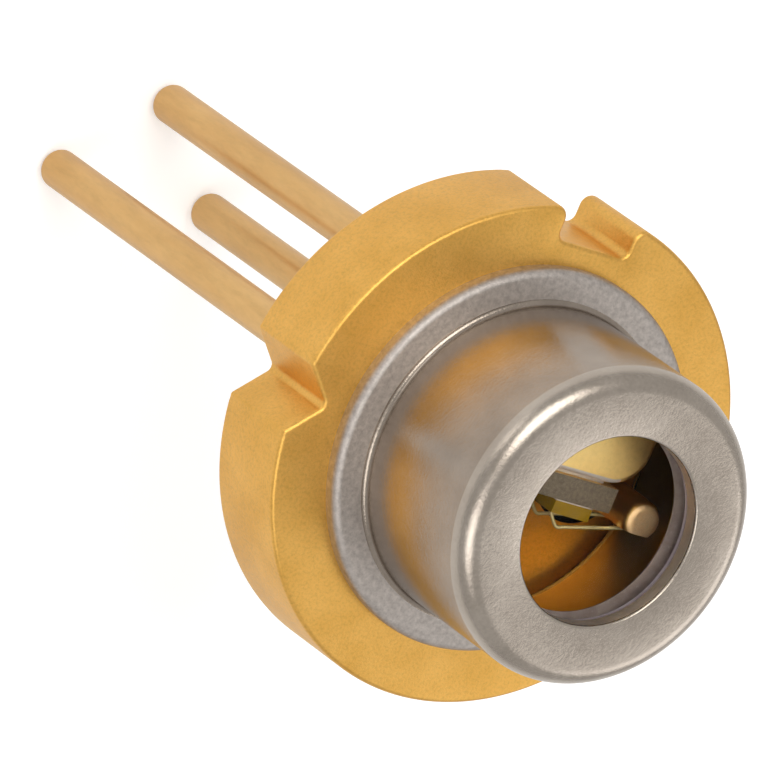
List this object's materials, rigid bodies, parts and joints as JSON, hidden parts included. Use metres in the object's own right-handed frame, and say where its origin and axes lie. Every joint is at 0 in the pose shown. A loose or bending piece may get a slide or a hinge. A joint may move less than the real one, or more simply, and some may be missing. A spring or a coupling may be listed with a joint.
{
  "type": "laser diode",
  "caption": "Laser diode in a round metal can: notched gold-plated stem with leads, chip on its heat sink, bond wires and a welded cap with a glass window.",
  "frame": {"origin": "centre of the stem's front face, the plane that the diode is located by, on the package axis", "axes": "+Z along the beam, out through the window, with the leads along -Z; +Y towards the index notch and the common lead; +X towards the laser lead, with a V notch at each of +X and -X"},
  "size_m": [0.0056, 0.0055, 0.0103],
  "materials": {
    "gold_plate": "satin gold plating over steel",
    "gold_plate_bright": "bright gold plating over copper",
    "lead_glass": "dark fused glass",
    "braze": "gold-plated braze fillet",
    "ceramic": "grey aluminium nitride ceramic",
    "solder": "bright thin solder",
    "laser_crystal": "polished crystal with a coated facet",
    "silicon": "polished silicon",
    "gold_wire": "bright gold wire",
    "cap_steel": "satin nickel-plated steel, drawn",
    "solder_glass": "low-melting sealing glass",
    "window_glass": "clear coated window glass"
  },
  "bodies": {
    "root": {"stem_base": "gold_plate", "heat_sink": "gold_plate_bright", "laser_lead": "gold_plate", "monitor_lead": "gold_plate", "common_lead": "gold_plate", "laser_lead_seal": "lead_glass", "monitor_lead_seal": "lead_glass", "common_lead_braze": "braze", "submount": "ceramic", "submount_solder": "solder", "laser_chip": "laser_crystal", "chip_solder": "solder", "photodiode": "silicon", "photodiode_solder": "solder", "laser_wire_front": "gold_wire", "laser_wire_rear": "gold_wire", "photodiode_wire": "gold_wire", "cap": "cap_steel", "window_seal": "solder_glass", "window_glass": "window_glass"}
  },
  "joints": []
}
